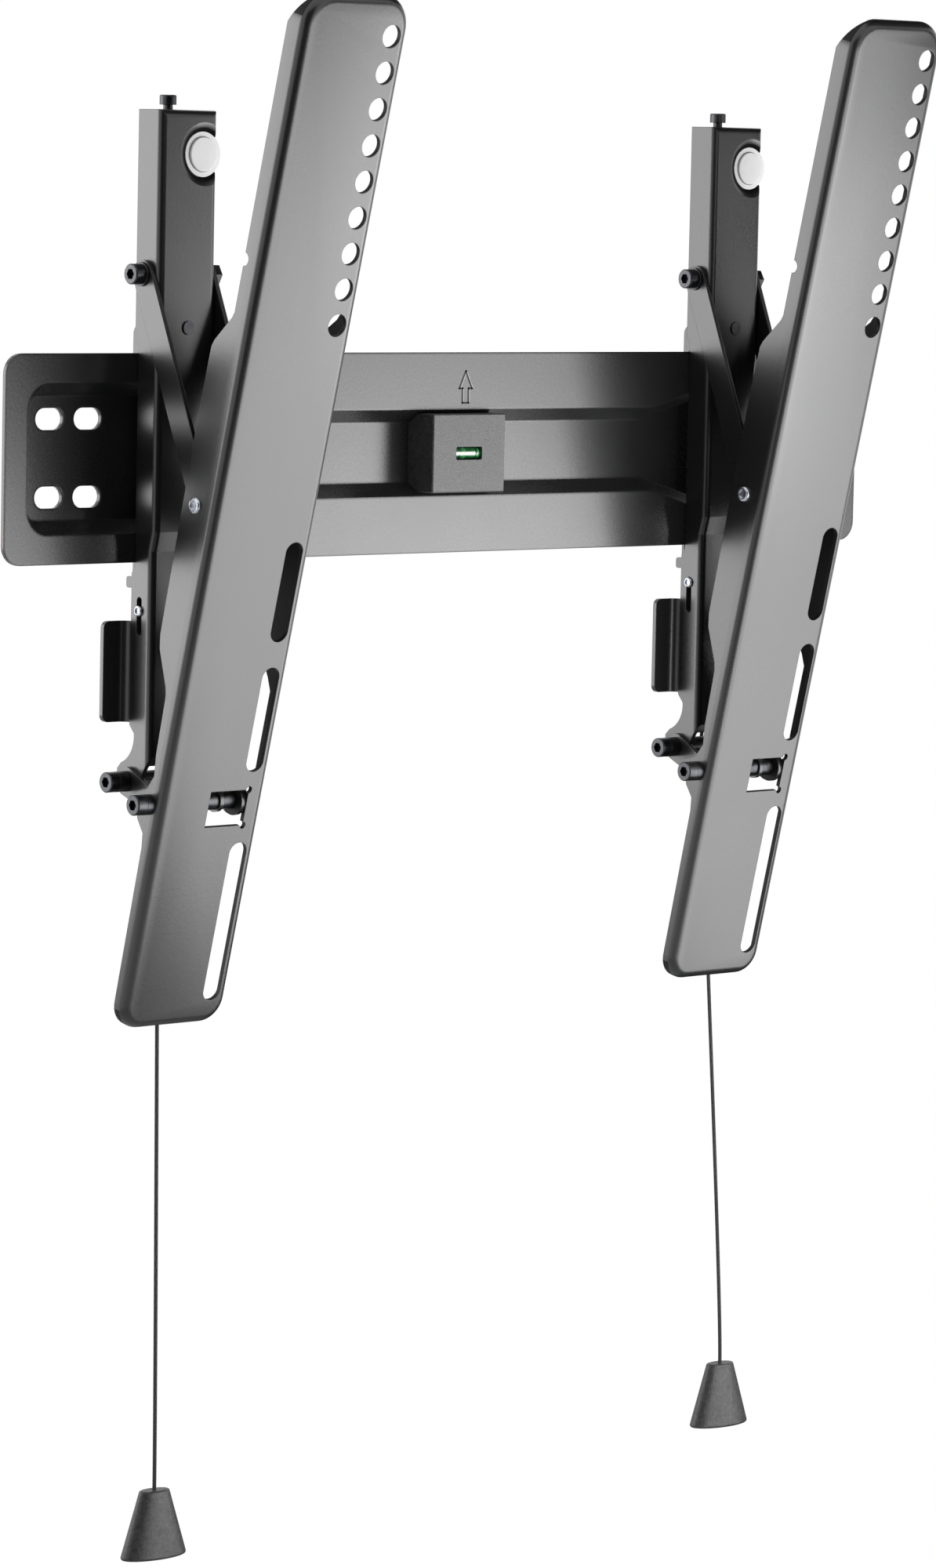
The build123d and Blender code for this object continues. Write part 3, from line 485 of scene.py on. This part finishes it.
def new_verts(made):
    """The vertices that a bmesh operator reports as made."""
    return [thing for thing in made["geom"] if isinstance(thing, bmesh.types.BMVert)]


def edges_within(shape, verts):
    """The edges of a bmesh with both ends in verts."""
    return [edge for edge in shape.edges if all(vert in verts for vert in edge.verts)]


def thicken(shape, faces, step):
    """Extrudes faces by a step."""
    grown = bmesh.ops.extrude_face_region(shape, geom=faces)
    bmesh.ops.translate(shape, verts=new_verts(grown), vec=step)


def bevel(shape, edges, radius, segments):
    """Rounds edges."""
    bmesh.ops.bevel(
        shape, geom=edges, offset=radius, offset_type="OFFSET", affect="EDGES",
        segments=segments, profile=0.5, material=-1,
    )


def mesh_from(shape, name, smooth=True):
    """Ends a bmesh: doubles merged, normals outwards."""
    bmesh.ops.remove_doubles(shape, verts=shape.verts, dist=0.001 * MM)
    bmesh.ops.recalc_face_normals(shape, faces=shape.faces)
    for face in shape.faces:
        face.smooth = smooth
    mesh = bpy.data.meshes.new(name)
    shape.to_mesh(mesh)
    shape.free()
    return mesh


def finish_piece(name, mesh, body, finish):
    """A piece at the origin that rides on a body."""
    piece = bpy.data.objects.new(name, mesh)
    bpy.context.scene.collection.objects.link(piece)
    piece.data.materials.append(finish)
    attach(piece, body)
    return piece


# ---- Cords

def make_cord(side):
    """Pull cord: one smooth spline along the route of the source, with its knot on the catch."""
    curve = bpy.data.curves.new(f"{side}_cord", "CURVE")
    curve.dimensions = "3D"
    curve.resolution_u = 24
    curve.bevel_depth = CORD_RADIUS * MM
    curve.bevel_resolution = 4
    curve.use_fill_caps = True
    curve.materials.append(CORD_FINISH)
    spline = curve.splines.new("NURBS")
    route = CORD_ROUTES[side]
    spline.points.add(len(route) - 1)
    for point, place in zip(spline.points, route):
        point.co = (*(Vector(place) * MM), 1.0)
    spline.order_u = 3
    spline.use_endpoint_u = True
    cord = bpy.data.objects.new(f"{side}_cord", curve)
    bpy.context.scene.collection.objects.link(cord)
    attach(cord, f"{side}_latch")
    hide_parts(f"{side}_pull_cord")

    knot = make_knot(side, Vector(route[0]) * MM)


def make_knot(side, seat):
    """Overhand knot that sits on the catch's foot: three crossing turns of the cord."""
    shape = bmesh.new()
    for turn, lean in enumerate(KNOT_LEANS):
        earlier = set(shape.verts)
        ring = bmesh.ops.create_circle(shape, segments=10, radius=KNOT_TUBE * MM)["verts"]
        bmesh.ops.rotate(shape, verts=ring, matrix=Matrix.Rotation(math.pi / 2, 3, "X"))
        bmesh.ops.translate(shape, verts=ring, vec=((KNOT_RADIUS - KNOT_TUBE) * MM, 0, 0))
        bmesh.ops.spin(
            shape, geom=ring + edges_within(shape, ring), cent=(0, 0, 0), axis=(0, 0, 1),
            angle=math.tau, steps=20, use_merge=True,
        )
        verts = [vert for vert in shape.verts if vert not in earlier]
        # Each turn also starts one radian further round than the last
        leant = Matrix.Rotation(math.radians(lean), 3, "X") @ Matrix.Rotation(turn, 3, "Z")
        bmesh.ops.rotate(shape, verts=verts, matrix=leant)
        bmesh.ops.scale(shape, verts=verts, vec=(1.0, 1.0, KNOT_SQUASH))
        bmesh.ops.translate(shape, verts=verts, vec=(0, 0, KNOT_STEP * (turn - 1) * MM))
    middle = Vector((0, 0, KNOT_HEIGHT / 2 * MM))
    bmesh.ops.translate(shape, verts=shape.verts, vec=seat + middle)
    name = f"{side}_cord_knot"
    return finish_piece(name, mesh_from(shape, name), f"{side}_latch", CORD_FINISH)


# ---- Arms. The solids to cut and join with are made in millimetres, in u, s and depth

def rounded_block(shape, low, high, corners, bend):
    """Block from low to high, with rounded top and bottom corners and a rounded front edge."""
    verts = bmesh.ops.create_cube(shape, size=1.0)["verts"]
    bmesh.ops.scale(shape, verts=verts, vec=Vector(high) - Vector(low))
    bmesh.ops.translate(shape, verts=verts, vec=(Vector(high) + Vector(low)) / 2)
    for end, radius in zip((low[1], high[1]), corners):
        at_end = [
            edge for edge in shape.edges if all(abs(v.co.y - end) < TOUCH for v in edge.verts)
        ]
        in_depth = [edge for edge in at_end if abs(edge.verts[0].co.z - edge.verts[1].co.z) > TOUCH]
        bevel(shape, in_depth, radius, CORNER_SEGMENTS)
    rim = [edge for edge in shape.edges if all(abs(v.co.z - low[2]) < TOUCH for v in edge.verts)]
    bevel(shape, rim, bend, BEND_SEGMENTS)


def prism(shape, outline, start, length):
    """Prism of an outline (s, depth) along u from start."""
    face = shape.faces.new([shape.verts.new((start, s, depth)) for s, depth in outline])
    thicken(shape, [face], (length, 0, 0))


def drill(shape, axis, centre, radius, start, length, segments=HOLE_SEGMENTS):
    """Round bar from start along u or depth. Its centre is given on the other two axes."""
    made = bmesh.ops.create_cone(
        shape, cap_ends=True, segments=segments, radius1=radius, radius2=radius, depth=length
    )["verts"]
    middle = start + length / 2
    if axis == "u":
        bmesh.ops.rotate(shape, verts=made, matrix=Matrix.Rotation(math.pi / 2, 3, "Y"))
        bmesh.ops.translate(shape, verts=made, vec=(middle, *centre))
    else:
        bmesh.ops.translate(shape, verts=made, vec=(*centre, middle))
    return made


def slot_bar(shape, start, end):
    """Bar that cuts a slot along s: a round bar, drawn out."""
    radius = ARM_SLOT_WIDTH / 2
    made = drill(shape, "depth", (0, start + radius), radius, *FRONT_CUT)
    far = [vert for vert in made if vert.co.y > start + radius]
    bmesh.ops.translate(shape, verts=far, vec=(0, end - start - 2 * radius, 0))


def opening_bars(shape):
    """Bars for the round holes and slots of the front and for the rivet's hole."""
    for index in range(ARM_HOLE_COUNT):
        drill(shape, "depth", (0, index * ARM_HOLE_PITCH), ARM_HOLE_RADIUS, *FRONT_CUT)
    for start, end in ARM_SLOTS:
        slot_bar(shape, start, end)
    drill(shape, "u", ARM_RIVET[:2], ARM_RIVET[2], *CROSS_CUT)


def window_pane(shape):
    """Block that cuts the window."""
    u_low, u_high, s_low, s_high = ARM_WINDOW
    pane = bmesh.ops.create_cube(shape, size=1.0)["verts"]
    bmesh.ops.scale(shape, verts=pane, vec=(u_high - u_low, s_high - s_low, PANE_THICKNESS))
    bmesh.ops.translate(
        shape, verts=pane, vec=((u_low + u_high) / 2, (s_low + s_high) / 2, 0.0)
    )


def window_reliefs(shape):
    """Bars for the relief holes in the window's two corners beside the ear."""
    _, u_high, s_low, s_high = ARM_WINDOW
    for s in (s_low, s_high):
        drill(shape, "depth", (u_high, s), ARM_WINDOW_RELIEF, *FRONT_CUT, RELIEF_SEGMENTS)


def ear_plate(shape):
    """Ear: a round plate at the window's edge, its front half drawn into the pan's sheet."""
    s, depth, _ = ARM_BOLT
    start = ARM_WINDOW[1] - ARM_SHEET
    drill(shape, "u", (s, depth), ARM_EAR_RADIUS, start, ARM_SHEET, EAR_SEGMENTS)
    near = [vert for vert in shape.verts if vert.co.z < depth]
    bmesh.ops.translate(shape, verts=near, vec=(0, 0, ARM_EAR_FRONT - depth + ARM_EAR_RADIUS))


def scratch(name, make, *values):
    """Scratch object to cut or join with, from a function that fills a bmesh."""
    shape = bmesh.new()
    make(shape, *values)
    bmesh.ops.recalc_face_normals(shape, faces=shape.faces)
    mesh = bpy.data.meshes.new(name)
    shape.to_mesh(mesh)
    shape.free()
    thing = bpy.data.objects.new(name, mesh)
    bpy.context.scene.collection.objects.link(thing)
    return thing


def combine(target, tools):
    """Applies Booleans in turn to a scratch object. Returns the mesh and removes the objects."""
    for operation, tool in tools:
        cutter = target.modifiers.new("cut", "BOOLEAN")
        cutter.operation = operation
        cutter.solver = "EXACT"
        cutter.object = tool
    bpy.context.view_layer.update()
    evaluated = target.evaluated_get(bpy.context.evaluated_depsgraph_get())
    mesh = bpy.data.meshes.new_from_object(evaluated)
    for thing in [target] + [tool for operation, tool in tools]:
        bpy.data.objects.remove(thing, do_unlink=True)
    return mesh


def cut_arm():
    """The arm's mesh in u, s and depth: a hollowed block, cut back to its flanges and opened."""
    low, high = (ARM_LEFT, ARM_TOP, 0.0), (ARM_RIGHT, ARM_BOTTOM, ARM_BLOCK_DEPTH)
    inner_low = (ARM_LEFT + ARM_SHEET, ARM_TOP + ARM_SHEET, ARM_SHEET)
    inner_high = (
        ARM_RIGHT - ARM_SHEET, ARM_BOTTOM - ARM_SHEET, ARM_BLOCK_DEPTH + HOLLOW_EXCESS
    )
    inner_corners = [radius - ARM_SHEET for radius in ARM_CORNERS]
    rear = ARM_BLOCK_DEPTH + WASTE_EXCESS
    back = ((ARM_TAIL[-1][0], rear), (ARM_HEAD[0][0], rear))
    left_edge = ARM_HEAD + ARM_HINGE + ARM_WAIST + ARM_LOBE + ARM_TAIL + back
    right_edge = ARM_HEAD_RIGHT + ARM_HINGE + ARM_WAIST_RIGHT + ARM_TAIL_RIGHT + back
    left_start = ARM_LEFT - WASTE_SIDE_EXCESS
    left_end = ARM_RIGHT_PART + WASTE_OVERLAP
    right_end = ARM_RIGHT + WASTE_SIDE_EXCESS

    block = scratch("block", rounded_block, low, high, ARM_CORNERS, ARM_BEND)
    cutters = (
        scratch(
            "hollow", rounded_block, inner_low, inner_high, inner_corners, ARM_BEND - ARM_SHEET
        ),
        scratch("left_waste", prism, left_edge, left_start, left_end - left_start),
        scratch("right_waste", prism, right_edge, ARM_RIGHT_PART, right_end - ARM_RIGHT_PART),
        scratch("notch", drill, "u", ARM_NOTCH[:2], ARM_NOTCH[2], *NOTCH_CUT),
        scratch("openings", opening_bars),
        scratch("pane", window_pane),
        scratch("reliefs", window_reliefs),
    )
    ear = scratch("ear", ear_plate)
    bolt_hole = scratch("bolt_hole", drill, "u", ARM_BOLT[:2], ARM_BOLT[2], *CROSS_CUT)
    steps = [("DIFFERENCE", cutter) for cutter in cutters]
    return combine(block, steps + [("UNION", ear), ("DIFFERENCE", bolt_hole)])


def arm_place(side):
    """Matrix from u, s and depth in millimetres to the arm's place."""
    lean = math.radians(ARM_LEAN[side])
    across = Vector((1, 0, 0))
    down = Vector((0, math.sin(lean), -math.cos(lean)))
    backward = Vector((0, math.cos(lean), math.sin(lean)))
    turn = Matrix((across, down, backward)).transposed().to_4x4()
    return Matrix.Translation(Vector(ARM_FIRST_HOLE[side]) * MM) @ turn @ Matrix.Scale(MM, 4)


def make_arm(side):
    """Arm: a pressed pan with a rim all round, its holes and slots, and the bent-back ear."""
    shape = bmesh.new()
    shape.from_mesh(cut_arm())
    name = f"{side}_arm_pan"
    mesh = mesh_from(shape, name)
    left, right = ARM_LEFT + ARM_INSIDE_MARGIN, ARM_RIGHT - ARM_INSIDE_MARGIN
    top, bottom = ARM_TOP + ARM_INSIDE_MARGIN, ARM_BOTTOM - ARM_INSIDE_MARGIN
    for polygon in mesh.polygons:
        u, s, _ = polygon.center
        within = left < u < right and top < s < bottom
        polygon.use_smooth = max(abs(part) for part in polygon.normal) <= FLAT_FACING
        # Faces on the pan's inside take the second slot, the painted shade
        polygon.material_index = int(within and polygon.normal.z > ARM_INSIDE_FACING)
    mesh.transform(arm_place(side))
    mesh.set_sharp_from_angle(angle=math.radians(SHARP_ANGLE))
    arm = finish_piece(name, mesh, f"{side}_arm_set", ARM_FINISH)
    mesh.materials.append(ARM_INSIDE_PAINTED_SHADE)
    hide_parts(f"{side}_arm")


# ---- Fine parts

def make_arrow():
    """Upward arrow, pressed in the front of the wall plate: a fine dark line of painted shade with
    a painted highlight along its edge.
    """
    corners = ARROW_CORNERS
    for (name, width, shift, front), finish in (
        (ARROW_PAINTED_SHADE, PAINTED_CREASE_SHADE), (ARROW_PAINTED_HIGHLIGHT, PAINTED_PRESS_HIGHLIGHT)
    ):
        shape = bmesh.new()
        for start, end in zip(corners, corners[1:] + corners[:1]):
            a, b = (Vector((x + shift, front, z)) for x, z in (start, end))
            reach = (b - a).normalized() * width / 2
            across = Vector((reach.z, 0, -reach.x))
            outline = (
                a - reach + across, b + reach + across, b + reach - across, a - reach - across
            )
            face = shape.faces.new([shape.verts.new(corner * MM) for corner in outline])
            thicken(shape, [face], (0, ARROW_THICKNESS * MM, 0))
        finish_piece(name, mesh_from(shape, name, False), "plate", finish)


def make_disc_line(side):
    """Fine dark line of painted shade in the step of the white disc."""
    shape = bmesh.new()
    for radius in DISC_LINE_RADII:
        bmesh.ops.create_circle(shape, segments=72, radius=radius * MM)
    bmesh.ops.bridge_loops(shape, edges=list(shape.edges))
    thicken(shape, list(shape.faces), (0, 0, THIN_LINE * MM))
    x, z = disc_middle(side)
    place = Matrix.Translation(Vector((x, DISC_STEP, z)) * MM)
    turn = Matrix.Rotation(math.pi / 2, 4, "X")
    bmesh.ops.transform(shape, verts=shape.verts, matrix=place @ turn)
    name = f"{side}_disc_painted_shade_line"
    mesh = mesh_from(shape, name, False)
    finish_piece(name, mesh, f"{side}_bracket_set", PAINTED_CREASE_SHADE)


def make_bubble():
    """Bubble, rings of painted highlight and lines of the level's vial, just proud of the vial in
    its window.
    """
    shape = bmesh.new()
    verts = bmesh.ops.create_uvsphere(
        shape, u_segments=24, v_segments=16, radius=BUBBLE_RADIUS * MM
    )["verts"]
    right_half = [vert for vert in verts if vert.co.x > 0]
    bmesh.ops.translate(shape, verts=right_half, vec=(BUBBLE_STRETCH * MM, 0, 0))
    bmesh.ops.scale(shape, verts=verts, vec=BUBBLE_SQUASH)
    bmesh.ops.translate(shape, verts=verts, vec=Vector(BUBBLE_PLACE) * MM)
    mesh = mesh_from(shape, "level_bubble")
    finish_piece("level_bubble", mesh, "plate", BUBBLE_FINISH)
    for (name, marks, width), finish in ((VIAL_LINES, LINE_FINISH), (VIAL_PAINTED_HIGHLIGHTS, PAINTED_VIAL_HIGHLIGHT)):
        shape = bmesh.new()
        for x in marks:
            ring = bmesh.ops.create_circle(
                shape, segments=48, radius=VIAL_RING_RADIUS * MM
            )["verts"]
            bmesh.ops.rotate(shape, verts=ring, matrix=Matrix.Rotation(math.pi / 2, 3, "Y"))
            bmesh.ops.translate(shape, verts=ring, vec=(x * MM, VIAL_DEPTH * MM, 0))
            band = bmesh.ops.extrude_edge_only(shape, edges=edges_within(shape, ring))
            bmesh.ops.translate(shape, verts=new_verts(band), vec=(width * MM, 0, 0))
        bmesh.ops.recalc_face_normals(shape, faces=shape.faces)
        bmesh.ops.solidify(shape, geom=list(shape.faces), thickness=THIN_LINE * MM)
        finish_piece(name, mesh_from(shape, name), "plate", finish)


# ---- Camera, floor, world and lamps

def place_camera():
    """Camera from its place, yaw, pitch and roll."""
    yaw, pitch, roll = (math.radians(a) for a in (CAMERA_YAW, CAMERA_PITCH, CAMERA_ROLL))
    level_part = math.cos(pitch)
    forward = Vector((math.sin(yaw) * level_part, math.cos(yaw) * level_part, math.sin(pitch)))
    level = Vector((math.cos(yaw), -math.sin(yaw), 0))
    upward = level.cross(forward)
    right = math.cos(roll) * level + math.sin(roll) * upward
    up = math.cos(roll) * upward - math.sin(roll) * level
    turn = Matrix((right, up, -forward)).transposed().to_4x4()
    data = bpy.data.cameras.new("camera")
    data.lens = CAMERA_LENS
    data.sensor_width = CAMERA_SENSOR
    data.clip_end = CAMERA_REACH
    camera = bpy.data.objects.new("camera", data)
    camera.matrix_world = Matrix.Translation(Vector(CAMERA_PLACE) * MM) @ turn
    bpy.context.scene.collection.objects.link(camera)
    bpy.context.scene.camera = camera


def soft_box(name, place, aim, width, height, brightness):
    """Area lamp that faces aim, whose surface has the given brightness."""
    data = bpy.data.lights.new(name, "AREA")
    data.shape = "RECTANGLE"
    data.size = width
    data.size_y = height
    data.energy = brightness * math.pi * width * height
    lamp = bpy.data.objects.new(name, data)
    lamp.location = place
    lamp.rotation_euler = (Vector(aim) - Vector(place)).to_track_quat("-Z", "Y").to_euler()
    lamp.visible_camera = False
    bpy.context.scene.collection.objects.link(lamp)


def stage_piece(name, mesh, colour, roughness, unseen_by=()):
    """A piece of the studio, not of the bracket, in one plain colour. Some rays may pass it."""
    piece = bpy.data.objects.new(name, mesh)
    bpy.context.scene.collection.objects.link(piece)
    finish = new_finish(name).surface(Base_Color=colour, Roughness=roughness)
    piece.data.materials.append(finish)
    for ray in unseen_by:
        setattr(piece, f"visible_{ray}", False)


def dark_card(name, place, aim, width, height):
    """Studio card that only shows as a dark reflection, to keep the black finish's contrast."""
    shape = bmesh.new()
    bmesh.ops.create_grid(shape, x_segments=1, y_segments=1, size=0.5)
    bmesh.ops.scale(shape, verts=shape.verts, vec=(width, height, 1.0))
    turn = (Vector(aim) - Vector(place)).to_track_quat("Z", "Y").to_matrix()
    bmesh.ops.transform(
        shape, verts=shape.verts, matrix=Matrix.Translation(place) @ turn.to_4x4()
    )
    unseen_by = ("camera", "diffuse", "shadow", "transmission", "volume_scatter")
    stage_piece(name, mesh_from(shape, name, False), (0.01, 0.01, 0.01), 1.0, unseen_by)


def make_stage():
    """Pale floor far below the bracket, and a white surrounding."""
    shape = bmesh.new()
    bmesh.ops.create_circle(shape, cap_ends=True, segments=96, radius=FLOOR_RADIUS)
    bmesh.ops.translate(shape, verts=shape.verts, vec=(0, 0, FLOOR_HEIGHT))
    stage_piece("floor", mesh_from(shape, "floor", False), (0.82, 0.82, 0.82), 0.9)

    world = bpy.data.worlds.new("surrounding")
    bpy.context.scene.world = world
    w = Finish(world)
    seen = w.add("ShaderNodeLightPath", output="Is Camera Ray")
    for ray in ("Is Glossy Ray", "Is Transmission Ray"):
        seen = seen.larger(w.add("ShaderNodeLightPath", output=ray))
    inputs = {"Color": (1.0, 1.0, 1.0, 1.0), "Strength": seen * (1.0 - AMBIENT) + AMBIENT}
    back = w.add("ShaderNodeBackground", inputs=inputs)
    w.add("ShaderNodeOutputWorld", inputs={"Surface": back})


dress_frame()
for side in SIDES:
    make_cord(side)
    make_arm(side)
    make_disc_line(side)
make_arrow()
make_bubble()
place_camera()
make_stage()
for box in SOFT_BOXES:
    soft_box(*box)
for card in DARK_CARDS:
    dark_card(*card)

bpy.context.scene.view_settings.view_transform = "Standard"
